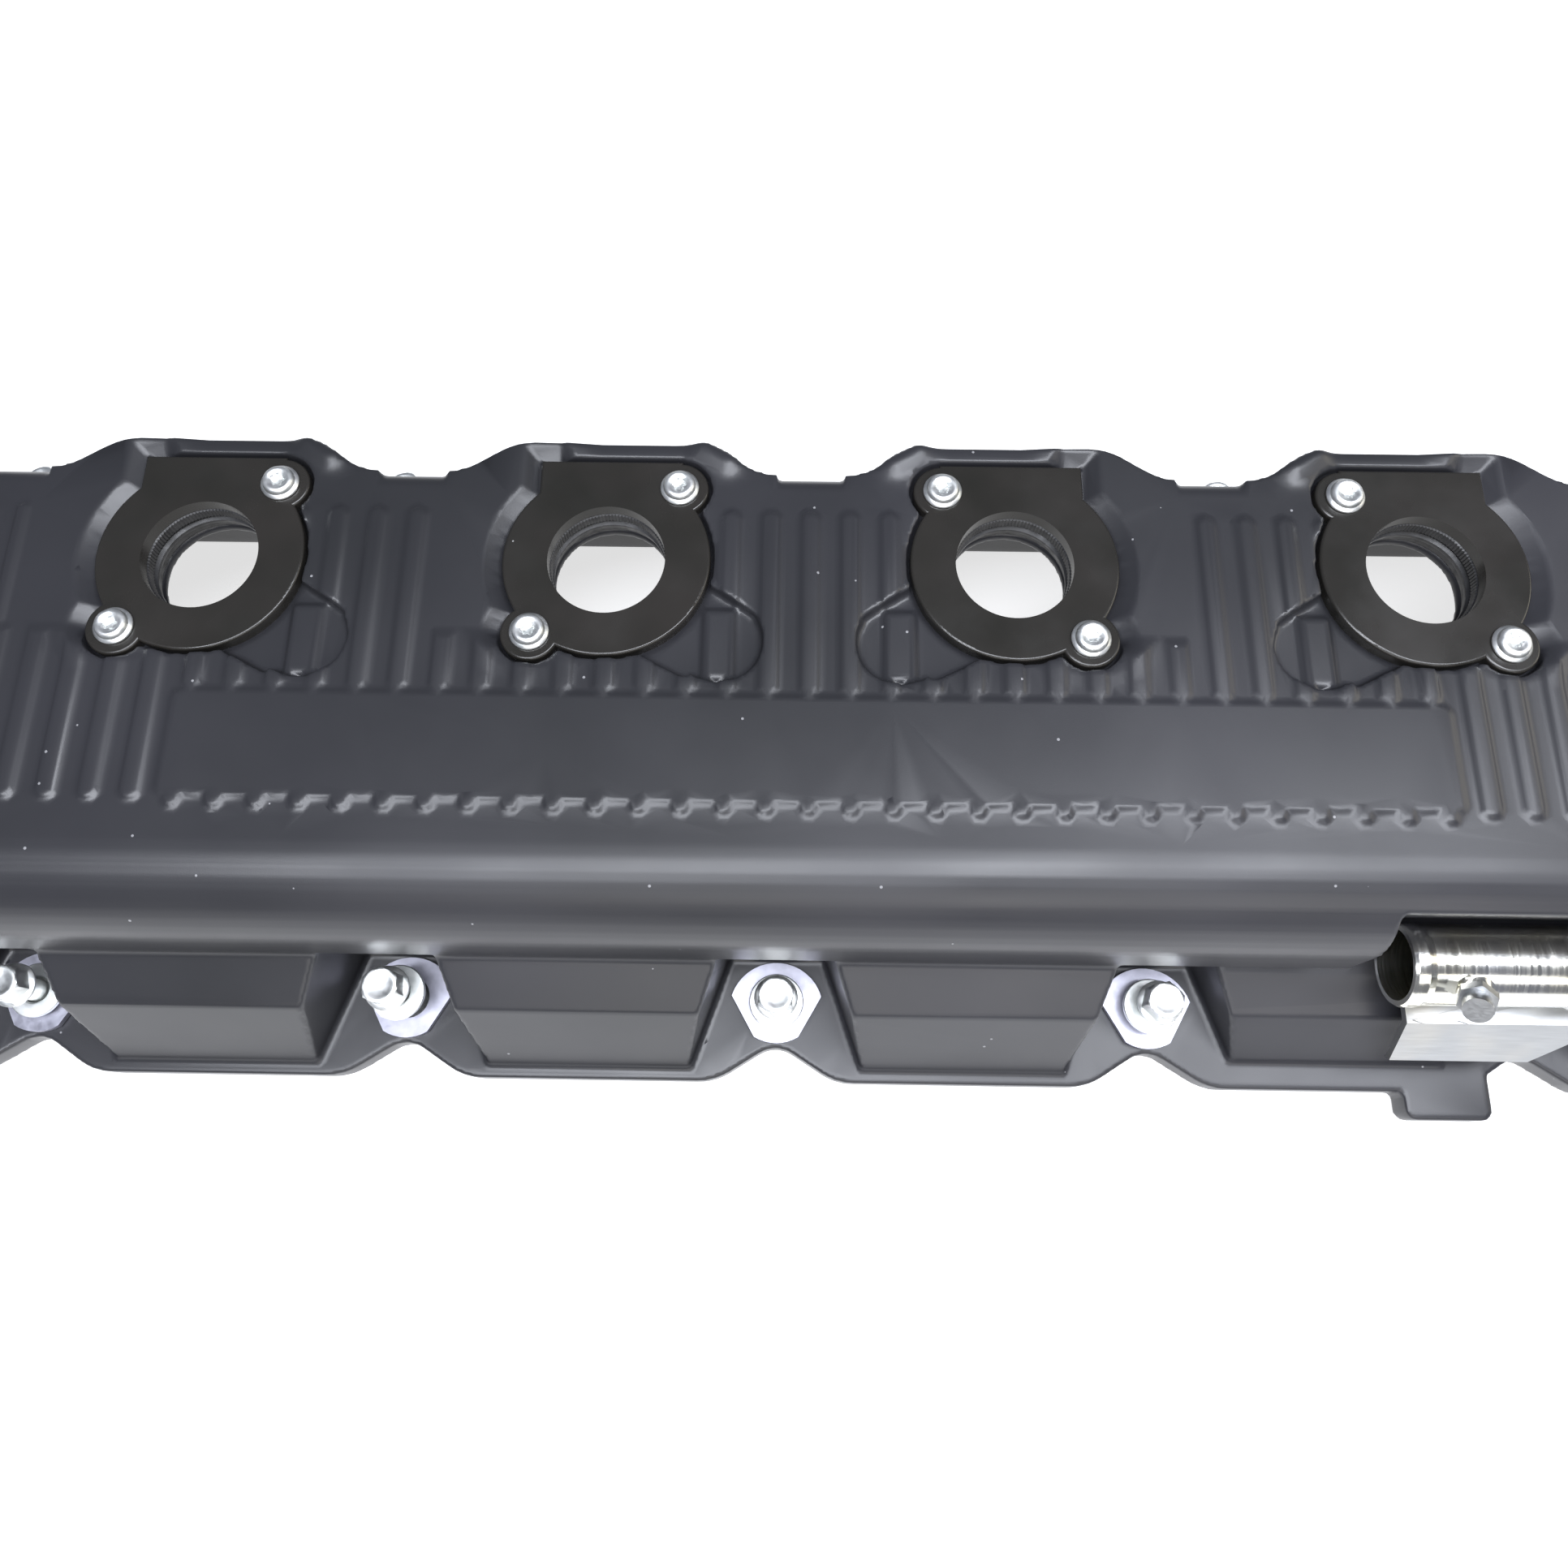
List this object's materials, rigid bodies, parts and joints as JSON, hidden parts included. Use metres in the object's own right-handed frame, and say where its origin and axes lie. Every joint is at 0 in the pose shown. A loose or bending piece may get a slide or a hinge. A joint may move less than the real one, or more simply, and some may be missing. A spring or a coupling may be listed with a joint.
{
  "type": "rocker cover",
  "caption": "Moulded rocker cover for an in-line engine, with ribbed deck, bolted coil plates, scalloped flange, captive cover bolts and a coolant pipe.",
  "frame": {"origin": "on the sealing plane, under the middle of the row of coil openings", "axes": "+X along the row of coil openings, +Y to the rear, +Z away from the cylinder head"},
  "size_m": [0.8688, 0.2537, 0.1056],
  "materials": {
    "cover_plastic": "fine moulded texture, charcoal",
    "plate_plastic": "smooth black, semi gloss",
    "seal_rubber": "matt black rubber",
    "gasket_rubber": "dark brown rubber",
    "zinc_steel": "bright zinc plate",
    "zinc_grey": "dull grey zinc plate",
    "brass": "turned brass",
    "pipe_aluminium": "polished",
    "bracket_aluminium": "brushed"
  },
  "bodies": {
    "cover": {"rocker_cover": "cover_plastic", "perimeter_gasket": "gasket_rubber", "screw_inserts": "brass", "isolator_plates_front": "zinc_grey", "isolator_plates_rear": "zinc_grey", "isolator_grommets_front": "seal_rubber", "isolator_grommets_rear": "seal_rubber", "isolator_sleeves_front": "zinc_steel", "isolator_sleeves_rear": "zinc_steel", "coolant_pipe": "pipe_aluminium", "pipe_bracket": "bracket_aluminium", "bracket_screws": "zinc_steel", "pipe_strap": "pipe_aluminium", "pipe_plug": "bracket_aluminium", "coil_plate_1": "plate_plastic", "coil_seal_1": "seal_rubber", "plate_screws_1": "zinc_steel", "coil_plate_2": "plate_plastic", "coil_seal_2": "seal_rubber", "plate_screws_2": "zinc_steel", "coil_plate_3": "plate_plastic", "coil_seal_3": "seal_rubber", "plate_screws_3": "zinc_steel", "coil_plate_4": "plate_plastic", "coil_seal_4": "seal_rubber", "plate_screws_4": "zinc_steel", "coil_plate_5": "plate_plastic", "coil_seal_5": "seal_rubber", "plate_screws_5": "zinc_steel", "coil_plate_6": "plate_plastic", "coil_seal_6": "seal_rubber", "plate_screws_6": "zinc_steel"},
    "bolt_front_1": {"cover_bolt_front_1": "zinc_steel"},
    "bolt_rear_1": {"cover_bolt_rear_1": "zinc_steel"},
    "bolt_front_2": {"cover_bolt_front_2": "zinc_steel"},
    "bolt_rear_2": {"cover_bolt_rear_2": "zinc_steel"},
    "bolt_front_3": {"cover_bolt_front_3": "zinc_steel"},
    "bolt_rear_3": {"cover_bolt_rear_3": "zinc_steel"},
    "bolt_front_4": {"cover_bolt_front_4": "zinc_steel"},
    "bolt_rear_4": {"cover_bolt_rear_4": "zinc_steel"},
    "bolt_front_5": {"cover_bolt_front_5": "zinc_steel"},
    "bolt_rear_5": {"cover_bolt_rear_5": "zinc_steel"},
    "bolt_front_6": {"cover_bolt_front_6": "zinc_steel"},
    "bolt_rear_6": {"cover_bolt_rear_6": "zinc_steel"},
    "bolt_front_7": {"cover_bolt_front_7": "zinc_steel"},
    "bolt_rear_7": {"cover_bolt_rear_7": "zinc_steel"}
  },
  "joints": [
    {"name": "bolt_front_1_slide", "type": "slide", "parent": "cover", "child": "bolt_front_1", "axis": [0, 0, 1], "range_m": [-0.0102, 0.003]},
    {"name": "bolt_front_2_slide", "type": "slide", "parent": "cover", "child": "bolt_front_2", "axis": [0, 0, 1], "range_m": [-0.0117, 0.003]},
    {"name": "bolt_front_3_slide", "type": "slide", "parent": "cover", "child": "bolt_front_3", "axis": [0, 0, 1], "range_m": [-0.0097, 0.003]},
    {"name": "bolt_front_4_slide", "type": "slide", "parent": "cover", "child": "bolt_front_4", "axis": [0, 0, 1], "range_m": [-0.0097, 0.003]},
    {"name": "bolt_front_5_slide", "type": "slide", "parent": "cover", "child": "bolt_front_5", "axis": [0, 0, 1], "range_m": [-0.0087, 0.003]},
    {"name": "bolt_front_6_slide", "type": "slide", "parent": "cover", "child": "bolt_front_6", "axis": [0, 0, 1], "range_m": [-0.0102, 0.003]},
    {"name": "bolt_front_7_slide", "type": "slide", "parent": "cover", "child": "bolt_front_7", "axis": [0, 0, 1], "range_m": [-0.0107, 0.003]},
    {"name": "bolt_rear_1_slide", "type": "slide", "parent": "cover", "child": "bolt_rear_1", "axis": [0, 0, 1], "range_m": [-0.0102, 0.003]},
    {"name": "bolt_rear_2_slide", "type": "slide", "parent": "cover", "child": "bolt_rear_2", "axis": [0, 0, 1], "range_m": [-0.0117, 0.003]},
    {"name": "bolt_rear_3_slide", "type": "slide", "parent": "cover", "child": "bolt_rear_3", "axis": [0, 0, 1], "range_m": [-0.0107, 0.003]},
    {"name": "bolt_rear_4_slide", "type": "slide", "parent": "cover", "child": "bolt_rear_4", "axis": [0, 0, 1], "range_m": [-0.0097, 0.003]},
    {"name": "bolt_rear_5_slide", "type": "slide", "parent": "cover", "child": "bolt_rear_5", "axis": [0, 0, 1], "range_m": [-0.0112, 0.003]},
    {"name": "bolt_rear_6_slide", "type": "slide", "parent": "cover", "child": "bolt_rear_6", "axis": [0, 0, 1], "range_m": [-0.0102, 0.003]},
    {"name": "bolt_rear_7_slide", "type": "slide", "parent": "cover", "child": "bolt_rear_7", "axis": [0, 0, 1], "range_m": [-0.0107, 0.003]}
  ]
}
